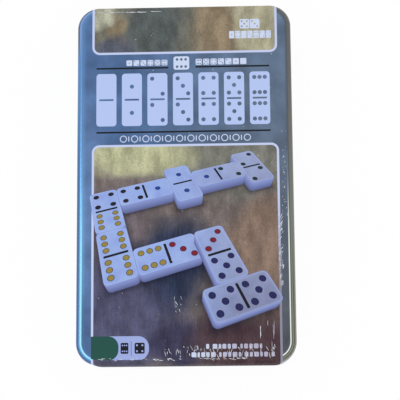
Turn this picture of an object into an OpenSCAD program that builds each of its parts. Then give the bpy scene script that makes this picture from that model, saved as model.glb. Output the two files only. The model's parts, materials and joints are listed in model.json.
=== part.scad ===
// Slip-lid tin of double-six dominoes: drawn tinplate base and lid, formed inner tray,
// 28 tiles in two layers and a stitched rules booklet. Lengths are in millimetres.
// +Z is up, the origin is the middle of the underside, X runs across the tin, Y along it.

/* [Tiles] */
// Length of one tile
tile_l = 48; // [40:0.5:60]
// Width of one tile
tile_w = 24; // [20:0.5:30]
// Thickness of one tile
tile_h = 11; // [6:0.5:14]
// Corner radius of a tile seen from above
tile_corner = 3.5; // [1.5:0.5:5]
// Radius of the softened edges round the faces of a tile
tile_edge = 1.3; // [0.5:0.1:1.5]
// Diameter of a pip
pip_d = 4.8; // [3:0.1:5]
// Depth of a pip
pip_deep = 0.6; // [0.3:0.05:0.8]
// Distance from the middle of a half to its outer pips
pip_pitch = 6.5; // [5:0.1:7]
// Length of the bar across the middle of a tile
bar_l = 18; // [12:0.5:19]
// Width of that bar
bar_w = 1.6; // [0.8:0.1:2]
// Depth of that bar
bar_deep = 0.4; // [0.2:0.05:0.6]
// Gap between neighbouring tiles of a row
tile_gap = 0.3; // [0.2:0.05:0.6]

/* [Tray] */
// Thickness of the formed plastic sheet
sheet = 0.5; // [0.3:0.05:0.8]
// Room between the tiles and the side walls of their trough
side_room = 0.4; // [0.3:0.05:1]
// Room between the last tile of a row and the end of its trough
end_room = 0.5; // [0.3:0.05:1]
// Width of the hollow rib between the troughs
rib = 5; // [3:0.5:12]
// Reach of the finger hollows past the ends of the troughs
scoop_out = 5; // [4.2:0.1:8]
// Radius of those hollows seen from above
scoop_r = 14; // [10:0.5:18]
// Width of the flange beside the troughs
flange_side = 2; // [1.7:0.1:8]
// Width of the flange past the finger hollows
flange_end = 1.4; // [1.2:0.1:8]
// Depth of the turned-down edge of the flange
lip = 4; // [2:0.5:8]
// How far the upper tiles stand out of the tray
tile_proud = 3.55; // [2:0.05:6]

/* [Booklet] */
// Width of the closed booklet
book_w = 92; // [60:1:100]
// Length of the booklet
book_l = 150; // [100:1:170]
// Thickness of the booklet
book_h = 2; // [1.2:0.1:4]
// Thickness of the flat staple wire
wire_t = 0.45; // [0.3:0.05:0.5]
// Length of a staple's crown
staple_l = 12; // [8:0.5:14]
// Length of each clinched end
clinch_l = 4; // [2:0.5:5]

/* [Tin] */
// Thickness of the tinplate
plate = 0.3; // [0.2:0.05:0.4]
// Corner radius seen from above
corner_r = 11.5; // [9:0.5:16]
// Radius of the drawn edge round the top of the lid
edge_r = 2.6; // [1.5:0.1:3.5]
// Height of the shoulder that the lid stands on
shoulder_z = 6.5; // [5:0.5:12]
// Radius of the bend round the foot of the base
foot_r = 1.8; // [1:0.1:2.5]
// Rise of the stiffening panel in the floor
panel_h = 0.8; // [0.4:0.1:1.2]
// Outside radius of the hem curled inwards along the foot of the lid
hem_r = 0.8; // [0.6:0.05:1]
// Outside radius of the curl along the rim of the base
rim_r = 0.7; // [0.5:0.05:0.9]
// Clearance all round between the hem of the lid and the neck of the base
lid_clear = 0.3; // [0.2:0.05:0.5]
// Clearance all round between the tray and the rim of the base
tray_clear = 0.4; // [0.3:0.1:1]
// Room between the booklet and the lid
head_room = 1.9; // [0.5:0.1:5]
// Room between the rim of the base and the lid
rim_gap = 0.8; // [0.4:0.1:1.5]

/* [Hidden] */
$fn = 64;
seat = 0.05;              // clearance left where one piece rests on another
snug = 0.02;              // clearance round the staples and between the cover and its pages
// Tray and tiles.
rows = 7;
trough_w = tile_l + 2 * side_room;
trough_l = rows * tile_w + (rows - 1) * tile_gap + 2 * end_room;
trough_x = (trough_w + rib) / 2; // middle of each trough
trough_r = tile_corner + 0.1;
trough_bend = 1;          // inside radius along the bottom of a trough
flange_bend = 1.2;        // outside radius of the turned-down edge
tray_x = trough_x + trough_w / 2 + flange_side;
tray_y = trough_l / 2 + scoop_out + flange_end;
// The tin goes round the tray.
neck_step = 2 * hem_r + lid_clear; // how far the neck of the base steps in behind the lid
tin_w = 2 * (tray_x + tray_clear + 2 * rim_r + neck_step);
tin_l = 2 * (tray_y + tray_clear + 2 * rim_r + neck_step);
half_x = tin_w / 2 - corner_r; // corner centres of the tin
half_y = tin_l / 2 - corner_r;
neck_u = corner_r - neck_step; // outside of the neck, measured out from the corner centres
tray_r = neck_u - 2 * rim_r - tray_clear;
panel_u = 2.7;            // edge of the raised floor panel, measured the same way
neck_fillet = 0.5;
shoulder_r = 1;
// Heights, from the table up.
tray_z = panel_h + plate + seat;
lower_z = tray_z + sheet + seat;
upper_z = lower_z + tile_h + seat;
tray_top = upper_z + tile_h - tile_proud;
book_z = upper_z + tile_h + seat;
tin_h = book_z + book_h + head_room + plate;
rim_z = tin_h - plate - rim_gap; // top of the base's rim
hem_z = shoulder_z + seat + hem_r;
// Booklet.
cover = 0.22;             // thickness of the cover
page_trim = 0.6;          // how far the pages end short of the cover
fold_in = 2;              // from the spine to the clinched ends

pairs = [for (a = [0:6]) for (b = [a:6]) [a, b]];
function tile_name(i) = str("tile_", pairs[i][0], "_", pairs[i][1]);
// Each tile's place in the tin: slots 0 to 13 are the lower layer, 14 to 27 the upper one.
function slot_of(i) = (5 * i + 3) % 28;

// Draws a profile round a rounded rectangle. The profile's x is the distance out from
// the lines that join the corner centres at [hx, hy], and its y is the height.
module sweep(hx, hy) {
    for (k = [0:3]) {
        a = k % 2 == 0 ? hx : hy;
        b = k % 2 == 0 ? hy : hx;
        rotate([0, 0, 90 * k]) translate([a, b, 0]) {
            rotate_extrude(angle = 90) children();
            rotate([90, 0, 0]) linear_extrude(2 * b) children();
        }
    }
}

// The plate inside those lines, from z0 to z1.
module middle(hx, hy, z0, z1) {
    translate([-hx, -hy, z0]) cube([2 * hx, 2 * hy, z1 - z0]);
}

// Half outline from u = 0 to u = u1 and z0 to z1, rounded by r0 below and r1 above.
module half_box(u1, z0, z1, r0, r1) {
    translate([0, z0]) square([u1 - r0, z1 - z0 - r1]);
    translate([0, z0 + r0]) square([u1 - r1, z1 - z0 - r0]);
    translate([0, z0 + r0]) square([u1, z1 - z0 - r0 - r1]);
    if (r0 > 0) translate([u1 - r0, z0 + r0]) circle(r0);
    if (r1 > 0) translate([u1 - r1, z1 - r1]) circle(r1);
}

// Fills the inner corner at [u, z] between a floor and a wall on its left with radius r.
module inner_fillet(u, z, r) {
    translate([u, z]) difference() {
        translate([-0.01, -0.01]) square(r + 0.01);
        translate([r, r]) circle(r);
    }
}

// Open curl of sheet round [u, z] that starts at the wall, with a gap before its free end
// meets the wall again: below the gap for a rim (up), above it for a hem.
module curl(u, z, r, up) {
    translate([u, z]) difference() {
        circle(r);
        circle(r - plate);
        s = up ? -1 : 1;
        polygon([[0, 0], [2 * r + 1, 0], [2 * r + 1, s * 3 * r], [-3 * r / tan(50), s * 3 * r]]);
    }
}

// Half section enclosed by the base's skin, drawn in by off: body, shoulder and neck up to neck_top.
module base_skin(off, neck_top) {
    half_box(corner_r - off, off, shoulder_z - off, foot_r - off, shoulder_r - off);
    translate([0, off + foot_r]) square([neck_u - off, neck_top - off - foot_r]);
    inner_fillet(neck_u - off, shoulder_z - off, neck_fillet + off);
}

module base_profile() {
    c = plate * (sqrt(2) - 1);
    difference() {
        base_skin(0, rim_z - rim_r);
        difference() {
            base_skin(plate, rim_z);
            polygon([[-1, -1], [panel_u + panel_h + c, -1], [panel_u + panel_h + c, plate],
                     [panel_u + c, panel_h + plate], [-1, panel_h + plate]]);
        }
        polygon([[-1, -1], [panel_u + panel_h + 1, -1], [panel_u, panel_h], [-1, panel_h]]);
    }
    curl(neck_u - rim_r, rim_z - rim_r, rim_r, true);
}

module base() {
    color([0.16, 0.18, 0.22]) {
        sweep(half_x, half_y) base_profile();
        middle(half_x, half_y, panel_h, panel_h + plate);
    }
}

module lid_profile() {
    difference() {
        translate([0, hem_z]) half_box(corner_r, 0, tin_h - hem_z, 0, edge_r);
        translate([-1, hem_z - 1])
            half_box(corner_r - plate + 1, 0, tin_h - plate - hem_z + 1, 0, edge_r - plate);
    }
    curl(corner_r - hem_r, hem_z, hem_r, false);
}

module lid() {
    color([0.32, 0.42, 0.56]) {
        sweep(half_x, half_y) lid_profile();
        middle(half_x, half_y, tin_h - plate, tin_h);
    }
}

// One trough with its finger hollows; off grows it from the inside to the outside of the sheet.
module trough(off, z1) {
    hx = trough_w / 2 - trough_r;
    hy = trough_l / 2 - trough_r;
    z0 = tray_z + sheet - off;
    bend = trough_bend + off;
    sweep(hx, hy) half_box(trough_r + off, z0, z1, bend, 0);
    middle(hx, hy, z0, z1);
    for (s = [-1, 1]) translate([0, s * (trough_l / 2 + scoop_out - scoop_r), 0])
        rotate_extrude() half_box(scoop_r + off, z0, z1, bend, 0);
}

module tray() {
    hx = tray_x - tray_r;
    hy = tray_y - tray_r;
    color([0.05, 0.05, 0.055]) difference() {
        union() {
            sweep(hx, hy) difference() {
                half_box(tray_r, tray_top - lip, tray_top, 0, flange_bend);
                translate([-1, -sheet - 1])
                    half_box(tray_r - sheet + 1, tray_top - lip, tray_top + 1, 0, flange_bend - sheet);
            }
            middle(hx, hy, tray_top - sheet, tray_top);
            for (s = [-1, 1]) translate([s * trough_x, 0, 0]) trough(sheet, tray_top);
        }
        for (s = [-1, 1]) translate([s * trough_x, 0, 0]) trough(0, tray_top + 1);
    }
}

function pips(v) = concat(v % 2 == 1 ? [[0, 0]] : [], v >= 2 ? [[-1, 1], [1, -1]] : [],
                          v >= 4 ? [[1, 1], [-1, -1]] : [], v == 6 ? [[0, 1], [0, -1]] : []);

// One tile lying face up with its middle at the origin, a at its left end and b at its right.
module tile(a, b) {
    hx = tile_l / 2 - tile_corner;
    hy = tile_w / 2 - tile_corner;
    ball = (pip_d * pip_d / 4 + pip_deep * pip_deep) / (2 * pip_deep);
    color([0.93, 0.93, 0.95]) difference() {
        union() {
            sweep(hx, hy) half_box(tile_corner, 0, tile_h, tile_edge, tile_edge);
            middle(hx, hy, 0, tile_h);
        }
        translate([-bar_w / 2, -bar_l / 2, tile_h - bar_deep]) cube([bar_w, bar_l, 1]);
        for (h = [[-1, a], [1, b]]) for (p = pips(h[1]))
            translate([h[0] * tile_l / 4 + p[0] * pip_pitch, p[1] * pip_pitch, tile_h - pip_deep + ball])
                sphere(ball);
    }
}

module placed_tile(i) {
    s = slot_of(i);
    layer = floor(s / 14);
    col = floor((s % 14) / rows);
    row = s % rows;
    translate([(2 * col - 1) * trough_x, (row - (rows - 1) / 2) * (tile_w + tile_gap),
               layer == 0 ? lower_z : upper_z])
        rotate([0, 0, i % 3 == 1 ? 180 : 0]) tile(pairs[i][0], pairs[i][1]);
}

// Section of the booklet, off inside its outer face, with the folded spine on the left.
module book_section(off, right) {
    r = book_h / 2;
    translate([-book_w / 2 + r, off]) square([book_w - r + right, book_h - 2 * off]);
    translate([-book_w / 2 + r, r]) circle(r - off);
}

// Flat wire stitches: a crown outside the spine, legs through the fold, ends clinched inside.
// off widens the wire all round, to cut its slots.
module stitches(off) {
    w = wire_t + 2 * off;
    x0 = -book_w / 2 - wire_t / 2 - snug;
    x1 = -book_w / 2 + fold_in;
    half = staple_l / 2;
    for (y = [-1, 1]) translate([0, y * book_l / 4, book_z + book_h / 2]) {
        translate([x0 - w / 2, -half - w / 2, -w / 2]) cube([w, staple_l + w, w]);
        for (s = [-1, 1]) {
            translate([x0 - w / 2, half * s - w / 2, -w / 2]) cube([x1 - x0 + w, w, w]);
            translate([x1 - w / 2, s > 0 ? half - clinch_l : -half - w / 2, -w / 2])
                cube([w, clinch_l + w / 2, w]);
        }
    }
}

module booklet_cover() {
    color([0.85, 0.85, 0.82]) difference() {
        translate([0, book_l / 2, book_z]) rotate([90, 0, 0]) linear_extrude(book_l) difference() {
            book_section(0, 0);
            book_section(cover, 1);
        }
        stitches(snug);
    }
}

module booklet_pages() {
    color([0.95, 0.95, 0.93]) difference() {
        translate([0, book_l / 2, book_z]) rotate([90, 0, 0]) linear_extrude(book_l)
            book_section(cover + snug, -page_trim);
        stitches(snug);
    }
}

module staples() {
    color([0.75, 0.76, 0.78]) stitches(0);
}

base();
lid();
tray();
for (i = [0:27]) placed_tile(i);
booklet_cover();
booklet_pages();
staples();
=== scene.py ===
import json
import math

import bmesh
import bpy
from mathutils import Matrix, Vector, noise
from mathutils.geometry import convex_hull_2d, delaunay_2d_cdt


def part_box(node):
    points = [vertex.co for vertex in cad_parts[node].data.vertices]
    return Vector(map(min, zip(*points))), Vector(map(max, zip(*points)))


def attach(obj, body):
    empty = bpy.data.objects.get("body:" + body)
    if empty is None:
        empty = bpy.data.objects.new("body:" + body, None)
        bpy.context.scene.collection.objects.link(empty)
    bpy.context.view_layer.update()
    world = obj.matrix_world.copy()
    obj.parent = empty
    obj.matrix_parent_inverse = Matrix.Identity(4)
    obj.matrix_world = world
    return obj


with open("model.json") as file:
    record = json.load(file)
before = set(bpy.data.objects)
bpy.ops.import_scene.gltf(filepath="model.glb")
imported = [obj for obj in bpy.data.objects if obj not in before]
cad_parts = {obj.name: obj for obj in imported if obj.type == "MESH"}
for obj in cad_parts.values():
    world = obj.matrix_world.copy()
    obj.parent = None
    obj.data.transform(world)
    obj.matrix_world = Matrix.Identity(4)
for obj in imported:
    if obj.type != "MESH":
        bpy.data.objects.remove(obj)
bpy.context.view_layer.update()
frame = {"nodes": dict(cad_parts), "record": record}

bl_info = {
    "name": "Slip-Lid Domino Tin",
    "version": (1, 0, 0),
    "blender": (4, 5, 0),
    "location": "3D View > Sidebar > Domino Tin",
    "description": "Prints, paints, wraps and lights a tinplate box of double-six dominoes",
    "category": "Add Mesh",
}

MM = 0.001
TIN_LOW, TIN_HIGH = (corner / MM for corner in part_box("lid"))
TOP = TIN_HIGH.z
BOOK_LOW, BOOK_HIGH = (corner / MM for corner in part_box("booklet_cover"))

# Where each pip of a value stands, in steps from the middle of its half.
PIPS = {value: ([(0, 0)] if value % 2 else []) + ([(-1, 1), (1, -1)] if value > 1 else [])
        + ([(1, 1), (-1, -1)] if value > 3 else []) + ([(0, 1), (0, -1)] if value == 6 else [])
        for value in range(7)}


def seen(red, green, blue):
    """A colour given as the eye reads it, 0 to 255, as the linear colour that shaders take."""
    return tuple((c / 255 / 12.92) if c <= 10 else ((c / 255 + 0.055) / 1.055) ** 2.4
                 for c in (red, green, blue))


def length(name, millimetres, description):
    return bpy.props.FloatProperty(name=name, description=description, unit="LENGTH", min=0,
                                   default=millimetres * MM)


def colour(name, red, green, blue, description):
    return bpy.props.FloatVectorProperty(name=name, description=description, subtype="COLOR",
                                         size=3, min=0, max=1, default=seen(red, green, blue))


# ------------------------------------------------------------------ settings

class TinSizes(bpy.types.PropertyGroup):
    """Sizes of the tin's printed skin."""
    corner: length("Corner Radius", 11.5, "Radius of the tin's corners seen from above")
    edge: length("Edge Radius", 2.6, "Radius of the drawn edge round the top of the lid")
    hem: length("Hem Radius", 0.8, "Radius of the hem along the foot of the lid")
    skin: length("Ink Height", 0.04, "How far the printed skin stands off the tinplate")
    ink: length("Ink Thickness", 0.03, "Thickness of the ink and varnish together")
    line: length("Frame Line", 1.2, "Width of the pale line round each panel")
    turn: length("Frame Radius", 3.5, "Radius of that line's corners")


class InkColours(bpy.types.PropertyGroup):
    """Inks and lacquers of the tinplate, with the reflections, highlights and dark lines painted on it."""
    # The border's corner colours and its left-middle colour are blue-grey ink with a painted reflection:
    # bluer at the left, slate towards the lower right.
    border_top_left: colour("Border Top Left", 73, 103, 146, "Blue-grey of the border")
    border_top_right: colour("Border Top Right", 96, 115, 140, "Blue-grey of the border")
    border_low_left: colour("Border Low Left", 68, 96, 138, "Blue-grey of the border")
    border_low_right: colour("Border Low Right", 79, 84, 94, "Slate of the border")
    border_left: colour("Border Left", 87, 115, 159, "Border at the middle of the left side")
    # Painted reflection: a dark band beside the edge at the upper right.
    border_dark: colour("Border Dark", 80, 87, 97, "Border beside the edge at the upper right")
    scuff: colour("Border Scuffs", 170, 185, 205, "Fine scuffs on the border")
    # Painted highlight: a bright line along the border at the lower right.
    gleam: colour("Gleam", 236, 240, 230, "Bright line along the border at the lower right")
    # Painted highlight: a bright line along the border at the lower left.
    low_left_highlight: colour("Lip", 170, 226, 255, "Bright line along the border at the lower left")
    # Painted reflection round the lid's edge: bright blue at the left, olive-grey at the right.
    edge_reflection_top_left: colour("Edge Top Left", 98, 142, 196, "Painted reflection on the lid's edge")
    edge_reflection_low_left: colour("Edge Low Left", 118, 184, 234, "Painted reflection on the lid's edge")
    edge_reflection_top_right: colour("Edge Top Right", 98, 99, 98, "Painted reflection on the lid's edge")
    edge_reflection_low_right: colour("Edge Low Right", 128, 129, 119, "Painted reflection on the lid's edge")
    # Painted reflection: darker ink round the outside of the left edge.
    edge_rim_reflection: colour("Edge Rim", 70, 108, 158, "Ink round the outside of the left edge")
    # Painted reflections: dark lines inside and outside the right edge.
    dark_reflection_top_right: colour("Edge Line Top Right", 72, 78, 86, "Dark line inside the right edge")
    dark_reflection_low_right: colour("Edge Line Low Right", 50, 52, 48, "Dark line inside the right edge")
    second_dark_reflection: colour("Second Edge Line", 62, 60, 48, "Dark line outside it at the lower right")
    # Painted reflection and highlight round the upper left corner.
    corner_rim_reflection: colour("Corner Rim", 76, 94, 120, "Ink round the upper left corner")
    corner_glint: colour("Corner Glint", 150, 170, 212, "Bright line round the upper left corner")
    worn: colour("Worn Edge", 190, 198, 206, "Metal that shows where the edge is worn")
    # The skirt's ink, bluer at the left and greyer at the right, follows the border's painted reflection.
    skirt_left: colour("Skirt Left", 78, 108, 150, "Ink down the skirt of the lid")
    skirt_right: colour("Skirt Right", 98, 107, 118, "Ink down the skirt of the lid")
    line: colour("Frame Line", 198, 207, 240, "Line round the panels")
    # Painted shade: the pale line and the small marks are darker towards the lid's lower right.
    line_shaded: colour("Dull Frame Line", 140, 138, 156, "Line at the lid's lower right")
    title: colour("Title", 182, 199, 242, "Large upright tiles")
    small: colour("Small Marks", 205, 216, 242, "Rows of small marks")
    small_shaded: colour("Dull Small Marks", 176, 172, 196, "Small marks at the lid's lower right")
    black: colour("Rules", 14, 17, 26, "Rules above and below the large tiles")
    green: colour("Green Tab", 28, 78, 70, "Tab at the lower left")
    pale: colour("Pale Tab", 158, 172, 224, "Tab behind the green one")
    tin_dull: colour("Dull Tin", 146, 150, 152, "Bare tinplate between its brightest grain")
    tin_bright: colour("Bright Tin", 186, 189, 190, "Brightest grain of the bare tinplate")
    spangle: colour("Spangle", 186, 176, 150, "Warm clouds on the bare tinplate")
    lacquer: colour("Base Lacquer", 84, 98, 120, "Lacquer on the wall of the base")
    lacquer_pale: colour("Pale Base Lacquer", 98, 112, 134, "The same lacquer where it is thin")


class PanelColours(bpy.types.PropertyGroup):
    """Tones of the lid's two brushed panels, partly their print and partly painted reflection."""
    upper_ground: colour("Upper Ground", 112, 110, 99, "Upper panel between its clouds")
    upper_straw: colour("Upper Straw", 167, 162, 137, "Cloud at the right of the upper panel")
    upper_tan: colour("Upper Tan", 141, 125, 103, "Cloud right of the middle")
    upper_smoke: colour("Upper Smoke", 87, 93, 93, "Cloud left of the middle")
    upper_amber: colour("Upper Amber", 133, 120, 98, "Small warm cloud at the left")
    upper_chalk: colour("Upper Chalk", 177, 177, 158, "Pale cloud in the upper left corner")
    upper_slate: colour("Upper Slate", 87, 91, 104, "Cool cloud in the lower left corner")
    lower_ground: colour("Lower Ground", 116, 106, 103, "Lower panel between its clouds")
    lower_olive: colour("Lower Olive", 122, 122, 114, "Broad cloud along the head of the lower panel")
    lower_straw: colour("Lower Straw", 177, 177, 142, "Pale cloud in the upper left corner")
    lower_copper: colour("Lower Copper", 134, 113, 100, "Warm cloud at the right")
    lower_mauve: colour("Lower Mauve", 108, 97, 103, "Cloud at the left")
    lower_dusk: colour("Lower Dusk", 78, 78, 103, "Blue cloud in the lower left corner")
    lower_blue: colour("Lower Blue", 44, 53, 78, "Dark blue cloud behind the pictured tiles")
    lower_plum: colour("Lower Plum", 59, 57, 80, "Dark cloud at the middle of the foot")
    lower_umber: colour("Lower Umber", 75, 57, 62, "Brown cloud in the lower right corner")
    rubbed: colour("Rubbed Streaks", 176, 174, 172, "Streaks rubbed along the panels")
    dust: colour("Dust", 210, 214, 220, "Pale specks of dust")
    shadow: colour("Shadow", 22, 20, 38, "Shadow beside the pictured tiles")


class PictureColours(bpy.types.PropertyGroup):
    """The pictured chain of tiles on the lower panel."""
    face_left: colour("Left Faces", 150, 172, 228, "Tile faces at the left")
    face_right: colour("Right Faces", 150, 160, 198, "Tile faces at the right")
    face_near: colour("Near Faces", 128, 134, 170, "Tile faces at the lower right")
    rim: colour("Tile Edges", 176, 192, 240, "Light along the rounded edges of the pictured tiles")
    side_high: colour("Upper Sides", 134, 148, 206, "Tile sides under the face")
    side_low: colour("Lower Sides", 92, 100, 150, "Tile sides at the table")
    pip_rim: colour("Pip Rims", 30, 26, 44, "Dark rim round each pictured pip")
    one: colour("Pictured Ones", 30, 66, 150, "Single pictured pip")
    two: colour("Pictured Twos", 22, 48, 42, "Two pictured pips")
    three: colour("Pictured Threes", 122, 24, 44, "Three pictured pips")
    four: colour("Pictured Fours", 30, 24, 36, "Four pictured pips")
    five: colour("Pictured Fives", 32, 34, 88, "Five pictured pips")
    six: colour("Pictured Sixes", 148, 130, 66, "Six pictured pips")
    tile: length("Pictured Tile", 15.4, "Width of a pictured tile in the middle of the picture")
    tilt: bpy.props.FloatProperty(name="View Height", description="Angle that the picture looks down at",
                                  subtype="ANGLE", default=math.radians(53))
    turn: bpy.props.FloatProperty(name="Turn", description="Angle that the pictured rows are turned by",
                                  subtype="ANGLE", default=math.radians(19))


class TileFinish(bpy.types.PropertyGroup):
    """The real tiles, their pips and their bars."""
    plastic: colour("Tile Plastic", 232, 234, 240, "Moulded plastic of the tiles")
    plastic_cool: colour("Cool Tile Plastic", 216, 220, 232, "Faint clouds in that plastic")
    plastic_worn: colour("Worn Tile Plastic", 196, 198, 206, "Fine wear on the tiles")
    pip: length("Pip Diameter", 4.8, "Diameter of a painted pip")
    deep: length("Pip Depth", 0.6, "Depth of the dimple under a pip")
    pitch: length("Pip Pitch", 6.5, "Distance from the middle of a half to its outer pips")
    bar: length("Bar Length", 18, "Length of the bar")
    bar_width: length("Bar Width", 1.6, "Width of the bar")
    bar_deep: length("Bar Depth", 0.4, "Depth of the bar's groove")
    one: colour("Ones", 36, 84, 176, "Paint of the single pip")
    two: colour("Twos", 24, 66, 46, "Paint of two pips")
    three: colour("Threes", 170, 34, 48, "Paint of three pips")
    four: colour("Fours", 40, 30, 34, "Paint of four pips")
    five: colour("Fives", 32, 38, 104, "Paint of five pips")
    six: colour("Sixes", 206, 168, 44, "Paint of six pips")
    bar_paint: colour("Bars", 16, 16, 22, "Paint of the bars")


class TrayFinish(bpy.types.PropertyGroup):
    """The formed tray."""
    black: colour("Tray Black", 20, 20, 23, "Plastic of the tray where it is thick")
    black_drawn: colour("Drawn Tray Black", 34, 34, 38, "The same plastic where it is drawn thin")
    rubbed: colour("Rubbed Tray", 84, 84, 90, "Streaks that the tiles have rubbed")


class BookletColours(bpy.types.PropertyGroup):
    """The booklet's paper, print and wire."""
    cover: colour("Cover Paper", 240, 240, 236, "Paper of the cover")
    cover_fibre: colour("Cover Fibre", 226, 226, 222, "Fibre in that paper")
    # Painted shade along the fold at the spine.
    spine_shade: colour("Cover Crease", 176, 176, 178, "Fold along the spine")
    page: colour("Pages", 244, 243, 238, "Edges of the pages")
    page_gap: colour("Page Gaps", 206, 204, 196, "Shadow between the pages")
    wire: colour("Wire", 196, 198, 202, "Steel of the stitches")
    ground: colour("Cover Ground", 222, 224, 226, "Ground of the cover's print")
    dark: colour("Cover Marks", 30, 34, 48, "Small marks of the cover's print")


class FilmSizes(bpy.types.PropertyGroup):
    """The shrink film round the closed tin."""
    gap: length("Film Gap", 0.12, "Distance from the print to the film")
    ruck: length("Rucks", 0.35, "Height of the gathers at the corners")
    haze: bpy.props.FloatProperty(name="Haze", description="How much the clear film covers",
                                  subtype="FACTOR", min=0, max=1, default=0.0)
    clear: colour("Film", 232, 240, 250, "Tint of the film where it is gathered")
    # Painted highlight: the creases are white as glints of light on the film.
    white: colour("Creases", 238, 242, 250, "Fine white creases")


class StageSizes(bpy.types.PropertyGroup):
    """Camera, light and floor."""
    lens: bpy.props.FloatProperty(name="Focal Length", description="Focal length in millimetres",
                                  default=118.26)
    camera: bpy.props.FloatVectorProperty(name="Camera", description="Place of the camera",
                                          subtype="TRANSLATION", size=3,
                                          default=(0.0308, -0.1235, 0.7056))
    aim: bpy.props.FloatVectorProperty(name="Aim", description="Turn of the camera", subtype="EULER",
                                       size=3, default=tuple(map(math.radians, (9.473, 2.015, -0.482))))
    sky: bpy.props.FloatProperty(name="Sky", description="Brightness of the light from all round",
                                 subtype="FACTOR", min=0, max=1, default=0.9)
    paper: bpy.props.FloatProperty(name="White Floor", description="How far the floor shows as white paper",
                                   subtype="FACTOR", min=0, max=1, default=0.95)


def settings():
    """The tin's settings, as the scene holds them."""
    return bpy.context.scene.domino_tin


def by_value(look):
    """The six pip colours of a group of settings, by value."""
    return enumerate((look.one, look.two, look.three, look.four, look.five, look.six), 1)


# ------------------------------------------------------------------ shader and geometry graphs

class Value:
    """One number from a node's socket. Sums on it add Math nodes."""

    def __init__(self, graph, socket):
        self.graph, self.socket = graph, socket

    def __add__(self, other):
        return self.graph.math("ADD", self, other)

    def __sub__(self, other):
        return self.graph.math("SUBTRACT", self, other)

    def __rsub__(self, other):
        return self.graph.math("SUBTRACT", other, self)

    def __mul__(self, other):
        return self.graph.math("MULTIPLY", self, other)

    def __truediv__(self, other):
        return self.graph.math("DIVIDE", self, other)

    def __rtruediv__(self, other):
        return self.graph.math("DIVIDE", other, self)

    def __pow__(self, other):
        return self.graph.math("POWER", self, other)

    def __abs__(self):
        return self.graph.math("ABSOLUTE", self)

    __radd__ = __add__
    __rmul__ = __mul__


class Graph:
    """A node tree and the few ways in which this file adds nodes to it."""

    def __init__(self, tree):
        self.tree = tree

    def node(self, kind, settings=None, inputs=None):
        """Adds a node, sets its settings, then fills its sockets with numbers or links."""
        node = self.tree.nodes.new(kind)
        for name, setting in (settings or {}).items():
            setattr(node, name, setting)
        for name, given in (inputs or {}).items():
            socket = node.inputs[name]
            if isinstance(given, Value):
                given = given.socket
            if isinstance(given, bpy.types.NodeSocket):
                self.tree.links.new(given, socket)
            elif hasattr(given, "__len__") and len(given) == 3 and socket.type == "RGBA":
                socket.default_value = (*given, 1)
            else:
                socket.default_value = given
        return node

    def math(self, operation, *values):
        return Value(self, self.node("ShaderNodeMath", {"operation": operation},
                                     dict(enumerate(values))).outputs[0])

    def vector(self, operation, *values):
        return self.node("ShaderNodeVectorMath", {"operation": operation},
                         dict(enumerate(values))).outputs[0]

    def ramp(self, value, low, high, first=0.0, last=1.0):
        """Rises smoothly from first to last while the value goes from low to high."""
        return Value(self, self.node("ShaderNodeMapRange", {"interpolation_type": "SMOOTHSTEP"}, {
            "Value": value, "From Min": low, "From Max": high,
            "To Min": first, "To Max": last}).outputs[0])

    def blend(self, share, first, second, how="MIX"):
        """Mixes two colours."""
        return self.node("ShaderNodeMix", {"data_type": "RGBA", "blend_type": how},
                         {0: share, 6: first, 7: second}).outputs[2]

    def mottle(self, shade, grain, contrast):
        """Darkens and lightens a colour with a grain of 0 to 1, by so much either way."""
        grey = self.blend(grain, (0.5 - contrast,) * 3, (0.5 + contrast,) * 3)
        return self.blend(1, shade, grey, "OVERLAY")


class Finish(Graph):
    """A material with one Principled shader, read in millimetres of the tin's own frame."""

    def __init__(self, name, **constants):
        self.material = bpy.data.materials.new(name)
        self.material.use_nodes = True
        super().__init__(self.material.node_tree)
        self.tree.nodes.clear()
        self.shader = self.node("ShaderNodeBsdfPrincipled", None, {
            socket.replace("_", " ").title().replace("Ior", "IOR"): value
            for socket, value in constants.items()})
        self.node("ShaderNodeOutputMaterial", None, {"Surface": self.shader.outputs[0]})
        self.place = self.vector("MULTIPLY", self.node("ShaderNodeTexCoord").outputs["Object"],
                                 (1 / MM, 1 / MM, 1 / MM))
        split = self.node("ShaderNodeSeparateXYZ", None, {0: self.place}).outputs
        self.x, self.y, self.z = (Value(self, socket) for socket in split)

    def speckle(self, per_mm, detail=2.0, rough=0.5):
        """Noise; per_mm is its fineness along each axis, one number or three."""
        scale = per_mm if hasattr(per_mm, "__len__") else (per_mm,) * 3
        return Value(self, self.node("ShaderNodeTexNoise", None, {
            "Vector": self.vector("MULTIPLY", self.place, scale), "Scale": 1.0,
            "Detail": detail, "Roughness": rough}).outputs[0])

    def inset(self):
        """Distance in from the tin's outline, in millimetres."""
        corner = settings().sizes.corner / MM
        across = self.math("MAXIMUM", abs(self.x) - (TIN_HIGH.x - corner), 0)
        along = self.math("MAXIMUM", abs(self.y) - (TIN_HIGH.y - corner), 0)
        return corner - self.math("SQRT", across * across + along * along)

    def shade(self):
        """How dark the picture is at this point of the print, from 0 to 1."""
        return self.node("ShaderNodeAttribute", {"attribute_name": "shade"}).outputs["Fac"]

    def feed(self, **links):
        """Links values or colours to sockets of the shader."""
        for name, given in links.items():
            socket = self.shader.inputs[name.replace("_", " ").title()]
            self.tree.links.new(given.socket if isinstance(given, Value) else given, socket)
        return self

    def bump(self, height, strength, distance):
        """Bump of the given distance in millimetres."""
        return self.feed(normal=self.node("ShaderNodeBump", None, {
            "Height": height, "Strength": strength, "Distance": distance * MM}).outputs[0])


def plain(name, shade, **constants):
    """A finish whose colour is the same all over."""
    return Finish(name, base_color=(*shade, 1), **constants)


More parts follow.
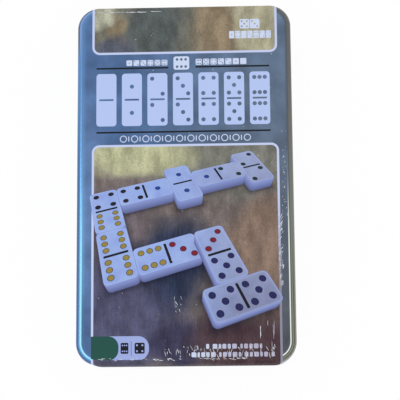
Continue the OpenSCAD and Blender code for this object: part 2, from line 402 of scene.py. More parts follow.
def run_nodes(name, source, tree, sizes, spare):
    """Runs a geometry tree on a source mesh, with its named inputs set, and returns the plain mesh.
    An empty material slot takes the spare material."""
    holder = bpy.data.objects.new(name, source)
    bpy.context.scene.collection.objects.link(holder)
    modifier = holder.modifiers.new("Shape", "NODES")
    modifier.node_group = tree
    for item in tree.interface.items_tree:
        if item.in_out == "INPUT" and item.name in sizes:
            modifier[item.identifier] = sizes[item.name]
    graph = bpy.context.evaluated_depsgraph_get()
    mesh = bpy.data.meshes.new_from_object(holder.evaluated_get(graph), depsgraph=graph)
    holder.modifiers.remove(modifier)
    bpy.data.objects.remove(holder)
    mesh.name = name
    for number, material in enumerate(mesh.materials):
        if material is None:
            mesh.materials[number] = spare
    return mesh


def geometry_tree(name, sizes, integers=()):
    """An empty geometry tree with a mesh going in and out and named sizes with their defaults."""
    tree = bpy.data.node_groups.new(name, "GeometryNodeTree")
    tree.interface.new_socket(name="Geometry", in_out="INPUT", socket_type="NodeSocketGeometry")
    for size, default in sizes.items():
        kind = "NodeSocketInt" if size in integers else "NodeSocketFloat"
        tree.interface.new_socket(name=size, in_out="INPUT", socket_type=kind).default_value = default
    tree.interface.new_socket(name="Geometry", in_out="OUTPUT", socket_type="NodeSocketGeometry")
    graph = Graph(tree)
    given = graph.node("NodeGroupInput").outputs
    return graph, {socket.name: Value(graph, socket) for socket in given if socket.name}


# ------------------------------------------------------------------ meshes

def piece(name, mesh, body):
    """Puts a finished mesh in the scene as a piece that rides on a body."""
    thing = bpy.data.objects.new(name, mesh)
    bpy.context.scene.collection.objects.link(thing)
    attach(thing, body)
    return thing


def rounded(x0, y0, x1, y1, radius, steps=6):
    """A rounded rectangle as a loop of points, anticlockwise."""
    loop = []
    for x, y, start in ((x1 - radius, y1 - radius, 0), (x0 + radius, y1 - radius, 90),
                        (x0 + radius, y0 + radius, 180), (x1 - radius, y0 + radius, 270)):
        for step in range(steps + 1):
            angle = math.radians(start + 90 * step / steps)
            loop.append((x + radius * math.cos(angle), y + radius * math.sin(angle)))
    return loop


def disc(x, y, radius, steps=20):
    return [(x + radius * math.cos(math.tau * k / steps), y + radius * math.sin(math.tau * k / steps))
            for k in range(steps)]


class Board:
    """Flat artwork in millimetres: outlines in painter's order, cut into faces that know their ink.
    An outline without ink only cuts what lies under it. A tone of 0 to 1 shades an outline's ink."""

    def __init__(self, ink, edge):
        self.loops, self.inks, self.tones = [edge], [ink], [None]

    def paint(self, ink, *loops, tone=None):
        for loop in loops:
            self.loops.append(loop)
            self.inks.append(ink)
            self.tones.append(tone)

    def cut(self):
        """The artwork's points, and the corners, ink and tone of each of its faces."""
        points, faces = [], []
        for loop in self.loops:
            faces.append(list(range(len(points), len(points) + len(loop))))
            points.extend(Vector(point) for point in loop)
        found = delaunay_2d_cdt(points, [], faces, 1, 1e-5, True)
        artwork = []
        for face, owners in zip(found[2], found[5]):
            if 0 in owners:
                top = max(k for k in owners if self.inks[k] is not None)
                artwork.append((face, self.inks[top], self.tones[top]))
        return found[0], artwork

    def half(self, x, y, wide, high, value, ink, ground):
        """One half of a tile as a small flat sign, with its pips left open."""
        turn, pitch, pip = 0.14, 0.27, 0.1   # shares of the half's size
        self.paint(ink, rounded(x, y, x + wide, y + high, turn * wide, 3))
        self.paint(ground, *(disc(x + wide * (0.5 + pitch * px), y + high * (0.5 + pitch * py),
                                  pip * min(wide, high), 10) for px, py in PIPS[value]))

    def upright(self, x, y, wide, high, value, ink, ground):
        """A whole double tile standing upright, its bar and pips left open."""
        turn, bar_start, bar_end, pip = 0.16, 0.14, 0.86, 0.105   # shares of the tile's width
        across, along = 0.26, 0.145                               # pitch of the pips, as shares
        bar = 0.5                                                 # half the bar's width in millimetres
        self.paint(ink, rounded(x, y, x + wide, y + high, turn * wide))
        middle = y + high / 2
        self.paint(ground, rounded(x + bar_start * wide, middle - bar, x + bar_end * wide, middle + bar,
                                   0.3, 2))
        for centre in (y + 0.25 * high, y + 0.75 * high):
            self.paint(ground, *(disc(x + wide * (0.5 + across * px), centre + along * high * py,
                                      pip * wide) for px, py in PIPS[value]))


class Skin:
    """The tin's outer surface, as heights and distances out from the lines between corner centres."""

    def __init__(self, corner):
        self.half_x, self.half_y = TIN_HIGH.x - corner, TIN_HIGH.y - corner

    def point(self, side, share, out, height):
        """The point out from the corner centres; side 0 to 3, share 0 to 1 round its corner."""
        angle = math.pi / 2 * (side + share)
        x = self.half_x if side in (0, 3) else -self.half_x
        y = self.half_y if side in (0, 1) else -self.half_y
        return Vector((x + out * math.cos(angle), y + out * math.sin(angle), height))

    def ring(self, out, height, steps):
        return [self.point(side, step / steps, out, height)
                for side in range(4) for step in range(steps + 1)]

    def out(self, point):
        """How far out a point lies, and in which direction."""
        inner = Vector((max(-self.half_x, min(self.half_x, point.x)),
                        max(-self.half_y, min(self.half_y, point.y))))
        away = Vector(point.xy) - inner
        return away.length, away.normalized() if away.length > 1e-6 else Vector((0, 0))


def bands(rows):
    """Faces between closed rows of equal length, pointing outwards where the rows go down."""
    faces, count = [], len(rows[0])
    for row in range(len(rows) - 1):
        for k in range(count):
            n = (k + 1) % count
            faces.append((row * count + k, (row + 1) * count + k, (row + 1) * count + n, row * count + n))
    return faces


def thicken(points, normals, faces, thickness):
    """Gives an open skin its thickness inwards and closes it along its border."""
    count = len(points)
    points = points + [p - n * thickness for p, n in zip(points, normals)]
    border = {}
    for face in faces:
        for a, b in zip(face, face[1:] + face[:1]):
            if (b, a) in border:
                del border[b, a]
            else:
                border[a, b] = True
    closed = [tuple(face) for face in faces]
    closed += [tuple(v + count for v in reversed(face)) for face in faces]
    closed += [(b, a, a + count, b + count) for a, b in border]
    return points, normals + [-n for n in normals], closed


def make_mesh(name, points, faces, materials, inks=None, normals=None):
    """A mesh from points in millimetres, with a material for each face."""
    mesh = bpy.data.meshes.new(name)
    mesh.from_pydata([Vector(p) * MM for p in points], [], faces)
    for material in materials:
        mesh.materials.append(material)
    if inks:
        mesh.polygons.foreach_set("material_index", inks)
    mesh.polygons.foreach_set("use_smooth", [True] * len(mesh.polygons))
    if normals:
        mesh.normals_split_custom_set_from_vertices(normals)
    mesh.update()
    return mesh


# ------------------------------------------------------------------ printed tinplate

# A flat ink under varnish.
VARNISHED = {"roughness": 0.42, "specular_ior_level": 0.12, "coat_weight": 0.1, "coat_roughness": 0.1}
PICTURED = {**VARNISHED, "roughness": 0.4}

# Soft clouds on the panels, partly the print's own tones and partly painted reflection: tone, middle and
# reach across and along the lid in millimetres.
UPPER_CLOUDS = (("upper_straw", 46, 84, 24, 34), ("upper_tan", 18, 82, 12, 24),
                ("upper_smoke", -16, 82, 22, 24), ("upper_amber", -37, 84, 7, 9),
                ("upper_chalk", -47, 94, 12, 8), ("upper_slate", -40, 73, 14, 8))
LOWER_CLOUDS = (("lower_olive", 20, 12, 50, 20), ("lower_straw", -26, 15, 32, 13),
                ("lower_copper", 46, -40, 30, 36), ("lower_mauve", -42, -22, 26, 20),
                ("lower_dusk", -34, -72, 36, 38), ("lower_blue", -4, -42, 22, 28),
                ("lower_plum", -4, -84, 20, 14), ("lower_umber", 34, -86, 34, 21))
CLOUD_WANDER = 22   # millimetres that a cloud's outline strays


def varnish(name, shade):
    return plain(name, shade, **VARNISHED).material


def toward_low_right(finish, first, full):
    """Rises from 0 to 1 from the middle of the lid towards its lower right corner."""
    return finish.ramp(finish.x - 0.55 * finish.y, first, full)


def pale_ink_shaded_low_right(name, shade, dull):
    """A pale ink with painted shade, darker towards the lid's lower right."""
    finish = Finish(name, **VARNISHED)
    return finish.feed(base_color=finish.blend(toward_low_right(finish, 50, 80), shade, dull)).material


def painted_edge_reflection(finish, inks):
    """Painted reflection on the lid's drawn edge: blue and bright at the left, olive-grey at the right."""
    across = finish.ramp(finish.x, -56, 56)
    up = finish.ramp(finish.y, -90, 90)
    left = finish.blend(up, inks.edge_reflection_low_left, inks.edge_reflection_top_left)
    right = finish.blend(up, inks.edge_reflection_low_right, inks.edge_reflection_top_right)
    return finish.blend(across, left, right)


def border_ink(inks):
    """Blue-grey ink of the lid's flat border, with a painted reflection: bluer at the left and slate towards
    the lower right, and painted highlights and a dark painted reflection near the edge.
    """
    finish = Finish("border_ink", metallic=0.35, roughness=0.34, specular_ior_level=0.2,
                    coat_weight=0.1, coat_roughness=0.08)
    # Painted reflection: the ink is bluer at the left, darker slate towards the lower right, and lighter at
    # the middle of the left side.
    across = finish.ramp(finish.x + 16 * finish.speckle(0.03), -38, 60)
    up = finish.ramp(finish.y, -80, 90)
    left = finish.blend(up, inks.border_low_left, inks.border_top_left)
    right = finish.blend(up, inks.border_low_right, inks.border_top_right)
    shade = finish.blend(across, left, right)
    left_middle = finish.ramp(abs(finish.y + 6), 80, 20) * finish.ramp(finish.x, -38, -50)
    shade = finish.blend(left_middle, shade, inks.border_left)
    shade = finish.mottle(shade, finish.speckle(0.08, 4, 0.5), 0.3)
    scuff = finish.ramp(finish.speckle((2.2, 0.1, 2.2), 3), 0.64, 0.84) * 0.22
    shade = finish.blend(scuff, shade, inks.scuff)

    inset = finish.inset()
    left_side = finish.ramp(finish.x, -40, -52)
    # Painted highlight: towards the edge at the left, more so lower down, the border takes on the edge's
    # painted reflection.
    thin = left_side * finish.ramp(inset, 5.5, 2.5) * finish.ramp(finish.y, -76, -30, 0.1, 0.55)
    shade = finish.blend(thin, shade, painted_edge_reflection(finish, inks))
    # Painted highlight: a bright line along the border at the lower right.
    gleam = finish.ramp(abs(inset - 3.0), 0.5, 0.1) * toward_low_right(finish, 40, 76)
    shade = finish.blend(gleam, shade, inks.gleam)
    # Painted highlight: a bright line along the border at the lower left.
    low_left_highlight = finish.ramp(inset, 3.25, 2.9) * left_side * finish.ramp(finish.y, 20, -40)
    shade = finish.blend(low_left_highlight * 0.8, shade, inks.low_left_highlight)
    # Painted reflection: the border is darker beside the edge at the upper right.
    upper_right = finish.ramp(finish.x, 42, 52) * finish.ramp(finish.y, -30, 10)
    shade = finish.blend(finish.ramp(inset, 4.0, 2.7) * upper_right * 0.7, shade, inks.border_dark)
    return finish.feed(base_color=shade, roughness=0.26 + 0.16 * finish.speckle(0.5, 3)).bump(
        finish.speckle(0.09, 2), 0.25, 0.25).material


def edge_ink(inks):
    """The border's ink round the lid's edge, with painted reflections, highlights and dark lines, and fuller
    down its skirt.
    """
    finish = Finish("edge_ink", metallic=0.85, roughness=0.16, coat_weight=0.2, coat_roughness=0.06)
    inset = finish.inset()
    # Painted reflection: a dark line inside the right and lower right edge.
    right = finish.math("MAXIMUM", toward_low_right(finish, 40, 76), finish.ramp(finish.x, 42, 52))
    dark = finish.blend(finish.ramp(finish.y, -60, 10), inks.dark_reflection_low_right, inks.dark_reflection_top_right)
    shade = finish.blend(finish.ramp(inset, 1.9, 2.4) * right * 0.7, painted_edge_reflection(finish, inks), dark)
    # Painted reflection: a second dark line further out at the lower right.
    second = finish.ramp(abs(inset - 1.2), 0.35, 0.1) * toward_low_right(finish, 66, 90)
    shade = finish.blend(second * 0.8, shade, inks.second_dark_reflection)
    # Painted reflection: the outside of the left edge is darker, less so at the top.
    rim = finish.ramp(inset, 2.2, 1.1) * finish.ramp(finish.x, 10, -50) * finish.ramp(
        finish.y, 70, 0, 0.25, 1)
    shade = finish.blend(rim, shade, inks.edge_rim_reflection)
    # Painted reflection and highlight: a dark rim and a bright line round the upper left corner.
    far_corner = finish.ramp(finish.y - finish.x, 118, 138)
    shade = finish.blend(far_corner * finish.ramp(inset, 1.4, 0.7), shade, inks.corner_rim_reflection)
    glint = finish.ramp(abs(inset - 1.7), 0.45, 0.1) * far_corner
    shade = finish.blend(glint * 0.7, shade, inks.corner_glint)

    low = finish.ramp(finish.z, TOP - 1.4, TOP - 3.4)
    # The skirt's ink is bluer at the left and greyer at the right, like the border's painted reflection.
    skirt = finish.blend(finish.ramp(finish.x, -56, 56), inks.skirt_left, inks.skirt_right)
    shade = finish.blend(low, shade, skirt)
    worn = finish.ramp(finish.speckle((0.9, 0.9, 0.5), 4, 0.65), 0.62, 0.8) * 0.25 * (1 - low)
    return finish.feed(base_color=finish.blend(worn, shade, inks.worn), metallic=0.85 - 0.4 * low,
                       roughness=0.16 + 0.04 * finish.speckle(0.3, 2) + 0.1 * low).bump(
        finish.speckle((0.2, 0.2, 0.05), 1), 0.2, 0.3).material


def cloud(finish, x, y, wide, high):
    """1 inside a soft oval whose outline wanders, and 0 outside it."""
    drift = CLOUD_WANDER * (finish.speckle(0.045, 2) - 0.5)
    across = (finish.x - x + drift) / wide
    along = (finish.y - y - drift) / high
    return finish.ramp(across * across + along * along, 0.15, 1.4, 1, 0)


def brushed_panel(name, tones, ground, clouds):
    """Bare-looking metal panel: soft clouds of tone, partly print and partly painted reflection, fine grain,
    dust and rubbed streaks.
    """
    finish = Finish(name, metallic=0.45, roughness=0.36, specular_ior_level=0.0, coat_weight=0.08,
                    coat_roughness=0.08)
    shade = getattr(tones, ground)
    for tone, *oval in clouds:
        shade = finish.blend(cloud(finish, *oval), shade, getattr(tones, tone))
    mist = finish.ramp(finish.speckle((0.17, 0.08, 0.1), 6, 0.62), 0.3, 0.7)
    shade = finish.mottle(shade, mist, 0.13)
    grain = finish.speckle(1.4, 3, 0.8)
    shade = finish.mottle(shade, grain, 0.28)
    rubbed = finish.ramp(finish.speckle((1.6, 0.05, 1), 4, 0.7), 0.54, 0.84) * 0.22
    shade = finish.blend(rubbed, shade, tones.rubbed)
    dust = finish.ramp(finish.speckle(1.1, 2, 0.5), 0.76, 0.82) * 0.5
    shade = finish.blend(dust, shade, tones.dust)
    shade = finish.blend(finish.shade(), shade, tones.shadow)
    side = finish.ramp(finish.z, TOP - 0.4, TOP - 2.4)
    return finish.feed(base_color=shade, roughness=0.26 + 0.22 * grain, metallic=0.45 - 0.4 * side,
                       coat_weight=0.08 - 0.06 * side).bump(grain, 0.15, 0.05).material


def pictured_inks(picture):
    """Inks of the pictured tiles: faces, sides, pips and the dark rims round the pips."""
    faces = Finish("pictured_faces", **PICTURED)
    across = faces.ramp(faces.x + 14 * faces.speckle(0.07), -6, 44)
    right = faces.blend(faces.ramp(faces.y, -30, -70), picture.face_right, picture.face_near)
    shade = faces.mottle(faces.blend(across, picture.face_left, right), faces.speckle(0.16, 3), 0.14)
    faces.feed(base_color=faces.blend(faces.shade(), shade, picture.rim))
    sides = Finish("pictured_sides", **PICTURED)
    sides.feed(base_color=sides.blend(sides.shade(), picture.side_high, picture.side_low))
    found = {"face": faces.material, "side": sides.material,
             "rim": varnish("pip_rim_ink", picture.pip_rim)}
    for value, shade in by_value(picture):
        found[value] = varnish(f"pictured_pip_{value}", shade)
    return found


def print_inks():
    """Every ink of the lid, by name."""
    inks, tones = settings().inks, settings().panels
    return {"border": border_ink(inks), "edge": edge_ink(inks),
            "upper": brushed_panel("upper_panel_ink", tones, "upper_ground", UPPER_CLOUDS),
            "lower": brushed_panel("lower_panel_ink", tones, "lower_ground", LOWER_CLOUDS),
            "line": pale_ink_shaded_low_right("frame_ink", inks.line, inks.line_shaded),
            "small": pale_ink_shaded_low_right("small_mark_ink", inks.small, inks.small_shaded),
            "title": varnish("title_ink", inks.title), "black": varnish("black_ink", inks.black),
            "green": varnish("green_ink", inks.green), "pale": varnish("pale_ink", inks.pale),
            **pictured_inks(settings().picture)}


class Picture:
    """The generic chain of tiles on the lower panel, seen at a slant. Lengths are tile widths."""
    # Each tile: left and far corner on the pictured table, whether it lies along the row, and the
    # values of its first and second half.
    CHAIN = ((3.2, -3.4, False, 2, 2), (1.2, -2.9, True, 1, 2), (0.2, -3.4, False, 1, 1),
             (-1.8, -2.9, True, 4, 1), (-2.8, -2.9, False, 4, 6), (-2.8, -0.9, False, 6, 6),
             (-1.8, 0.1, True, 6, 3), (0.2, 0.1, False, 3, 5), (-0.3, 2.1, True, 5, 5))
    MIDDLE = (0.5, -31.0)   # the picture's middle on the lid, in millimetres
    FAR = 8.5               # distance of the picture's eye
    HIGH = 0.42             # height of a tile
    CORNER = 0.15           # corner radius of a tile
    SIDE_TONES = 7          # tones down a tile's side
    EDGE_TONES = ((0.012, 0.34), (0.03, 0.2), (0.05, 0.08), (0.07, 0.0))   # inset and light of each
    PIP_STEP, PIP_RIM, PIP = 0.27, 0.105, 0.088   # pitch and radii of the pips
    BAR_START, BAR_END = 0.12, 0.88               # the bar's reach across a tile
    BAR_LOW, BAR_HIGH = 0.958, 1.042              # the bar's sides along a tile
    SHADOW_RINGS = (0.5, 0.34, 0.22, 0.12, 0.05)  # outlines between which the shadow fades
    SHADOW, SHADOW_FADE, SHADOW_REACH = 0.62, 0.13, 0.5
    CONTACT = 0.06          # width of the full shadow at a tile's left and near sides

    def __init__(self, look):
        self.unit = look.tile / MM
        self.down = math.sin(look.tilt), math.cos(look.tilt)
        self.turn = math.cos(look.turn), math.sin(look.turn)

    def seen(self, a, b, height):
        """Where a point of the pictured table comes to lie on the lid."""
        right = a * self.turn[0] + b * self.turn[1]
        away = a * self.turn[1] - b * self.turn[0]
        near = self.FAR / (self.FAR + away * self.down[1] - height * self.down[0])
        return (self.MIDDLE[0] + self.unit * near * right,
                self.MIDDLE[1] + self.unit * near * (away * self.down[0] + height * self.down[1]))

    def table(self, x, y):
        """The point of the pictured table that lies at a point of the lid."""
        x, y = (x - self.MIDDLE[0]) / self.unit, (y - self.MIDDLE[1]) / self.unit
        away = y * self.FAR / (self.FAR * self.down[0] - y * self.down[1])
        right = x * (self.FAR + away * self.down[1]) / self.FAR
        return right * self.turn[0] + away * self.turn[1], right * self.turn[1] - away * self.turn[0]

    def shadow(self, x, y):
        """How dark the table is beside the tiles, 0 to 1."""
        a, b = self.table(x, y)
        gap = math.inf
        for left, far, along, _, _ in self.CHAIN:
            wide, deep = (2, 1) if along else (1, 2)
            gap = min(gap, math.hypot(max(left - a - self.CONTACT, 0, a - left - wide),
                                      max(far - b, 0, b - far - deep - self.CONTACT)))
        return self.SHADOW * math.exp(-gap / self.SHADOW_FADE) if gap < self.SHADOW_REACH else 0.0

    def footprint(self, tile, grow, height, steps=5):
        """A tile's outline on the lid, at a height over the table and grown by so much."""
        left, far, along = tile[:3]
        wide, deep = (2, 1) if along else (1, 2)
        return [self.seen(a, b, height) for a, b in rounded(
            left - grow, far - grow, left + wide + grow, far + deep + grow, self.CORNER + grow, steps)]

    def draw_tile(self, board, tile):
        """One pictured tile: the tones of its side and its edge, its bar and its pips."""
        left, far, along, first, second = tile
        for step in range(self.SIDE_TONES):
            loop = self.footprint(tile, 0, self.HIGH * step / self.SIDE_TONES)
            loop += self.footprint(tile, 0, self.HIGH)
            board.paint("side", [loop[k] for k in convex_hull_2d([Vector(p) for p in loop])],
                        tone=1 - step / (self.SIDE_TONES - 1))
        for inset, light in self.EDGE_TONES:
            board.paint("face", self.footprint(tile, -inset, self.HIGH)[::-1], tone=light)

        def paint(ink, loop):
            """Paints an outline of the table's plane on the tile's face."""
            board.paint(ink, [self.seen(a, b, self.HIGH) for a, b in loop][::-1])

        if along:
            bar = left + self.BAR_LOW, far + self.BAR_START, left + self.BAR_HIGH, far + self.BAR_END
        else:
            bar = left + self.BAR_START, far + self.BAR_LOW, left + self.BAR_END, far + self.BAR_HIGH
        paint("black", rounded(*bar, 0.02, 2))
        for value, start in ((first, 0), (second, 1)):
            a, b = (left + start + 0.5, far + 0.5) if along else (left + 0.5, far + start + 0.5)
            for px, py in PIPS[value]:
                if not along:
                    px, py = -py, px
                place = a + self.PIP_STEP * px, b - self.PIP_STEP * py
                for ink, radius in (("rim", self.PIP_RIM), (value, self.PIP)):
                    paint(ink, disc(*place, radius, 16))

    def draw(self, board):
        """Draws the chain from far to near, on faces fine enough for its shadow."""
        for tile in self.CHAIN:
            board.paint(None, *(self.footprint(tile, grow, 0, 3)[::-1] for grow in self.SHADOW_RINGS))
        for tile in self.CHAIN:
            self.draw_tile(board, tile)


# ------------------------------------------------------------------ the lid's print

# Places and sizes on the lid in millimetres. The panels run out over its ends.
FRAME_LEFT, FRAME_RIGHT, FRAME_END = -48.4, 49.1, 120
UPPER_PANEL_FOOT, LOWER_PANEL_HEAD = 69.7, 19.3
RULES, RULE_HALF = ((-46.7, -8.3, 61.5), (6.1, 45.3, 61.7), (-46.6, 45.4, 26.6)), 0.45
TITLE_LEFT, TITLE_RIGHT, TITLE_FOOT, TITLE_HIGH, TITLE_GAP = -46.7, 45.4, 30, 28.6, 2.9
RINGS, RINGS_LEFT, RINGS_MIDDLE, RINGS_PITCH = 12, -32.3, 23, 5.95
RING_OUTER, RING_INNER = 1.9, 1.45
STROKE_LEFT, STROKE_RIGHT, STROKE_HALF = 2.6, 3.1, 1.4   # from a ring's middle, and half its length
TAB_FOOT, TAB_HEAD, TAB_SEAM = -93.2, -80.8, -48.9       # the tabs end at the seam
PALE_TAB_RIGHT, PALE_TAB_TURN = -19, 5.6
GREEN_TAB_LEFT, GREEN_TAB_RIGHT, GREEN_TAB_TURN = -54, -34.7, 5.4
BLOCK_ROWS = ((10.4, 39.5, -87.7), (2.9, 47.2, -91.9))   # left, right and foot
BLOCK_WIDTHS, BLOCK_HIGH, BLOCK_GAP, GROUP_GAP = (1.6, 2.4, 1.2, 2.0), 2.5, 0.7, 1.8

# Rows of tile halves: left, foot, pitch, width and height of a half, and their values.
BAND_HALVES = ((-30.7, 62.8, 3.75, 3.1, 3.1, (1, 2, 3, 4, 5, 6)), (-5.6, 60.3, 0, 8.4, 7.3, (6,)),
               (6.2, 62.8, 3.95, 3.3, 3.3, (6, 5, 4, 3, 2, 1, 0)))
PANEL_HALVES = ((29.8, 82.4, 5.5, 5.2, 5.2, (5, 3)), (24.2, 77, 3.25, 2.8, 4.1, (1, 4, 0, 3, 6, 2, 5)))
TAB_HALVES = ((-33.6, -89.8, 0, 4.0, 5.6, (6,)), (-26.4, -89.8, 0, 5.2, 5.6, (4,)))


def print_halves(board, rows, ink, ground):
    """Rows of small tile halves."""
    for left, foot, pitch, wide, high, values in rows:
        for k, value in enumerate(values):
            board.half(left + k * pitch, foot, wide, high, value, ink, ground)


def print_panels(board):
    """The upper and the lower panel, each inside its pale line."""
    half, turn = settings().sizes.line / MM / 2, settings().sizes.turn / MM
    for ink, grow in (("line", half), ("upper", -half)):
        board.paint(ink, rounded(FRAME_LEFT - grow, UPPER_PANEL_FOOT - grow, FRAME_RIGHT + grow, FRAME_END,
                                 turn + grow, 8))
    for ink, grow in (("line", half), ("lower", -half)):
        board.paint(ink, rounded(FRAME_LEFT - grow, -FRAME_END, FRAME_RIGHT + grow, LOWER_PANEL_HEAD + grow,
                                 turn + grow, 8))


def print_title(board):
    """The large upright tiles between their rules."""
    for left, right, y in RULES:
        board.paint("black", rounded(left, y - RULE_HALF, right, y + RULE_HALF, 0.1, 1))
    wide = (TITLE_RIGHT - TITLE_LEFT - 6 * TITLE_GAP) / 7
    for value in range(7):
        board.upright(TITLE_LEFT + value * (wide + TITLE_GAP), TITLE_FOOT, wide, TITLE_HIGH, value,
                      "title", "border")


def print_rings(board):
    """The row of rings under the title, with a stroke between each two."""
    for k in range(RINGS):
        x = RINGS_LEFT + k * RINGS_PITCH
        board.paint("small", disc(x, RINGS_MIDDLE, RING_OUTER, 18))
        board.paint("border", disc(x, RINGS_MIDDLE, RING_INNER, 18))
        if k < RINGS - 1:
            board.paint("small", rounded(x + STROKE_LEFT, RINGS_MIDDLE - STROKE_HALF, x + STROKE_RIGHT,
                                         RINGS_MIDDLE + STROKE_HALF, 0.2, 2))


def print_tabs(board):
    """The round-ended tabs at the lower left, cut off square at the seam."""
    board.paint("pale", rounded(TAB_SEAM, TAB_FOOT, PALE_TAB_RIGHT, TAB_HEAD, PALE_TAB_TURN, 8))
    board.paint("pale", [(TAB_SEAM, TAB_FOOT), (-40, TAB_FOOT), (-40, TAB_HEAD), (TAB_SEAM, TAB_HEAD)])
    board.paint("green", rounded(GREEN_TAB_LEFT, TAB_FOOT, GREEN_TAB_RIGHT, TAB_HEAD, GREEN_TAB_TURN, 8))
    board.paint("border", [(GREEN_TAB_LEFT - 0.2, TAB_FOOT - 0.1), (TAB_SEAM, TAB_FOOT - 0.1),
                           (TAB_SEAM, TAB_HEAD + 0.1), (GREEN_TAB_LEFT - 0.2, TAB_HEAD + 0.1)])
    board.paint("border", rounded(-28.3, -91, -28, -83.2, 0.1, 1))
    print_halves(board, TAB_HALVES, "black", "pale")


def print_blocks(board):
    """The two rows of small blocks at the lower right, in groups."""
    for row, (left, right, foot) in enumerate(BLOCK_ROWS):
        x, k = left, row
        while x < right - 1:
            wide = BLOCK_WIDTHS[k % len(BLOCK_WIDTHS)]
            board.paint("small", rounded(x, foot, min(x + wide, right), foot + BLOCK_HIGH, 0.5, 3))
            x, k = x + wide + (BLOCK_GAP if k % 5 else GROUP_GAP), k + 1


class LidSkin(Skin):
    """The printed outside of the lid: flat top, drawn edge, skirt and hem."""
    CORNER_STEPS, EDGE_STEPS, SKIRT_STEPS, HEM_STEPS = 20, 12, 6, 4
    HEM_TURN = math.pi / 10   # turn of the hem's outside between two rows

    def __init__(self, sizes):
        self.corner, self.edge, self.hem, self.off = (
            size / MM for size in (sizes.corner, sizes.edge, sizes.hem, sizes.skin))
        self.foot = TIN_LOW.z + self.hem
        super().__init__(self.corner)

    def rows(self):
        """Closed rows of points from the border of the flat top down to the hem."""
        corner, edge, hem, off, foot = self.corner, self.edge, self.hem, self.off, self.foot
        rows = []
        for step in range(self.EDGE_STEPS + 1):
            angle = math.pi / 2 * step / self.EDGE_STEPS
            rows.append((corner - edge + (edge + off) * math.sin(angle),
                         TOP - edge + (edge + off) * math.cos(angle)))
        for step in range(self.SKIRT_STEPS):
            rows.append((corner + off, TOP - edge + (foot - TOP + edge) * (step + 1) / self.SKIRT_STEPS))
        for step in range(self.HEM_STEPS):
            angle = self.HEM_TURN * (step + 1)
            rows.append((corner - hem + (hem + off) * math.cos(angle), foot - (hem + off) * math.sin(angle)))
        return [self.ring(out, height, self.CORNER_STEPS) for out, height in rows]

    def normal(self, point):
        """Which way the surface faces at a point on it."""
        out, away = self.out(point)
        if point.z > TOP - self.edge and out > self.corner - self.edge + 1e-3:
            normal = Vector((*(away * (out - self.corner + self.edge)), point.z - TOP + self.edge))
        elif point.z > TOP - self.edge:
            normal = Vector((0, 0, 1))
        elif point.z < self.foot - 1e-3:
            normal = Vector((*(away * (out - self.corner + self.hem)), point.z - self.foot))
        else:
            normal = Vector((*away, 0))
        return normal.normalized()


class PrintedFaces:
    """The faces of the print, which share their points and know their ink and their tone."""

    def __init__(self):
        self.points, self.faces, self.inks, self.tones, self.known = [], [], [], [], {}

    def vertex(self, point):
        """The number of a point, which is the same for all faces that meet there."""
        key = tuple(round(v, 3) for v in point)
        if key not in self.known:
            self.known[key] = len(self.points)
            self.points.append(Vector(point))
        return self.known[key]

    def add(self, points, ink, tone=None):
        corners = tuple(dict.fromkeys(self.vertex(point) for point in points))
        if len(corners) > 2:
            self.faces.append(corners)
            self.inks.append(ink)
            self.tones.append(tone)


def side_faces(rows, half):
    """The lid's edge and skirt, cut where the panels' lines run down them: points and ink of each."""
    wall = bmesh.new()
    corners = [wall.verts.new(p) for row in rows for p in row]
    for face in bands(rows):
        wall.faces.new([corners[k] for k in face])
    for x in (FRAME_LEFT - half, FRAME_LEFT + half, FRAME_RIGHT - half, FRAME_RIGHT + half):
        bmesh.ops.bisect_plane(wall, geom=wall.verts[:] + wall.edges[:] + wall.faces[:],
                               dist=1e-5, plane_co=(x, 0, 0), plane_no=(1, 0, 0))
    found = []
    for face in wall.faces:
        middle = face.calc_center_median()
        if FRAME_LEFT + half < middle.x < FRAME_RIGHT - half:
            ink = "upper" if middle.y > 0 else "lower"
        else:
            ink = "line" if FRAME_LEFT - half < middle.x < FRAME_RIGHT + half else "edge"
        found.append(([tuple(v.co) for v in face.verts], ink))
    wall.free()
    return found


class DOMINO_OT_print(bpy.types.Operator):
    """Print the lid: border, panels, rules, upright tiles and the pictured chain"""
    bl_idname = "domino.print_lid"
    bl_label = "Print Lid"

    def execute(self, context):
        sizes = settings().sizes
        skin, picture = LidSkin(sizes), Picture(settings().picture)
        rows = skin.rows()
        board = Board("border", [tuple(p.xy) for p in rows[0]])
        print_panels(board)
        print_title(board)
        print_halves(board, BAND_HALVES, "small", "border")
        print_rings(board)
        print_halves(board, PANEL_HALVES, "small", "upper")
        picture.draw(board)
        print_tabs(board)
        print_blocks(board)

        printed = PrintedFaces()
        flat, artwork = board.cut()
        for face, ink, tone in artwork:
            printed.add([(*flat[k], TOP + skin.off) for k in face], ink, tone)
        for face, ink in side_faces(rows, sizes.line / MM / 2):
            printed.add(face, ink)

        normals = [skin.normal(point) for point in printed.points]
        points, normals, faces = thicken(printed.points, normals, printed.faces, sizes.ink / MM)
        names = [*dict.fromkeys(ink for ink in board.inks if ink is not None), "edge"]
        inks = printed.inks * 2 + ["border"] * (len(faces) - 2 * len(printed.faces))
        tones = printed.tones + [None] * (len(faces) - len(printed.faces))
        found = print_inks()
        mesh = make_mesh("lid_print", points, faces, [found[name] for name in names],
                         [names.index(ink) for ink in inks], normals)
        beside = [picture.shadow(p.x, p.y) if p.z > TOP - 1 else 0 for p in points]
        mesh.attributes.new("shade", "FLOAT", "CORNER").data.foreach_set("value", [
            beside[corner] if tone is None else tone for face, tone in zip(faces, tones) for corner in face])
        piece("lid_print", mesh, "lid")
        return {"FINISHED"}


def dress(node, finish):
    """Gives a CAD node its material."""
    materials = frame["nodes"][node].data.materials
    materials.clear()
    materials.append(finish.material)


